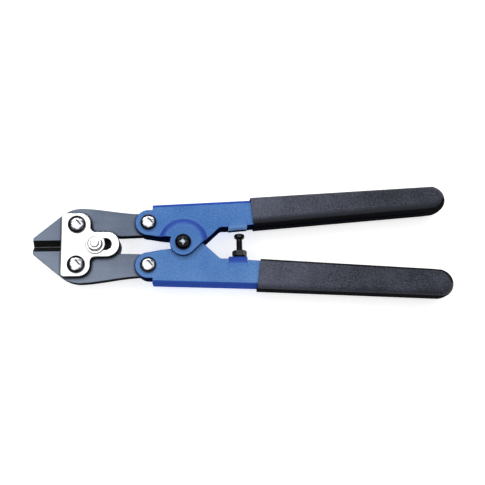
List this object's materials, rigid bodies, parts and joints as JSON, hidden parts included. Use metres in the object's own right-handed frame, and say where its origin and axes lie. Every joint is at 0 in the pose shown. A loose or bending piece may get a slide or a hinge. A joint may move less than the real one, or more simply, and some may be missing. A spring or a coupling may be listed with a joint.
{
  "type": "bolt cutters",
  "caption": "Compact compound-action bolt cutters with bevelled jaws, slotted side plates with a thumb slide lock, pressed channel handles, a stop screw and dipped vinyl grips.",
  "frame": {"origin": "centre of the bounding box in X and Y, on the surface that the tool lies on in Z", "axes": "+X from the blade tips to the grip ends, +Y from the lower handle to the upper handle, +Z along the pivots from the nut side to the bolt-head side"},
  "size_m": [0.2094, 0.0568, 0.0222],
  "materials": {
    "side_plate": "bright nickel plate, tumbled",
    "jaw_steel": "satin blue-grey hardened steel with blackened bevels",
    "handle_enamel": "semi-gloss powder coat, fine orange peel",
    "grip_vinyl": "dipped vinyl with a fine pebble grain",
    "bright_bolt": "polished plated domes",
    "lock_chrome": "bright turned",
    "zinc_nut": "zinc plated",
    "black_oxide": "oiled black oxide"
  },
  "bodies": {
    "head": {"front_side_plate": "side_plate", "rear_side_plate": "side_plate", "upper_jaw_bolt": "bright_bolt", "lower_jaw_bolt": "bright_bolt", "upper_jaw_nut": "zinc_nut", "lower_jaw_nut": "zinc_nut"},
    "jaw_upper": {"upper_jaw": "jaw_steel"},
    "jaw_lower": {"lower_jaw": "jaw_steel"},
    "lever_upper": {"upper_handle": "handle_enamel", "upper_grip": "grip_vinyl", "upper_tail_bolt": "bright_bolt", "upper_tail_nut": "zinc_nut", "main_pivot_bolt": "black_oxide", "main_pivot_nut": "black_oxide", "main_pivot_bush": "zinc_nut"},
    "lever_lower": {"lower_handle": "handle_enamel", "lower_grip": "grip_vinyl", "lower_tail_bolt": "bright_bolt", "lower_tail_nut": "zinc_nut", "stop_screw": "black_oxide", "stop_nut": "black_oxide"},
    "lock": {"lock_block": "zinc_nut", "lock_washer": "lock_chrome", "lock_button": "lock_chrome", "lock_rivet": "lock_chrome"}
  },
  "joints": [
    {"name": "upper_jaw_pivot", "type": "hinge", "parent": "head", "child": "jaw_upper", "pos_m": [-0.08285, 0.0101, 0.01135], "axis": [0, 0, -1], "range_deg": [0, 6.5]},
    {"name": "lower_jaw_pivot", "type": "hinge", "parent": "head", "child": "jaw_lower", "pos_m": [-0.08285, -0.0101, 0.01135], "axis": [0, 0, 1], "range_deg": [0, 6.5]},
    {"name": "upper_handle_pivot", "type": "hinge", "parent": "jaw_upper", "child": "lever_upper", "pos_m": [-0.04755, 0.0108, 0.01135], "axis": [0, 0, 1], "range_deg": [0, 19]},
    {"name": "lower_handle_pivot", "type": "hinge", "parent": "jaw_lower", "child": "lever_lower", "pos_m": [-0.04755, -0.0108, 0.01135], "axis": [0, 0, -1], "range_deg": [0, 19.1]},
    {"name": "lock_slide", "type": "slide", "parent": "head", "child": "lock", "axis": [1, 0, 0], "range_m": [-0.0012, 0.005]}
  ],
  "couplings": [
    {"joint": "lower_handle_pivot", "follows": "upper_handle_pivot", "ratio": 1},
    {"joint": "upper_jaw_pivot", "follows": "upper_handle_pivot", "ratio": 0.339},
    {"joint": "lower_jaw_pivot", "follows": "upper_handle_pivot", "ratio": 0.339}
  ]
}
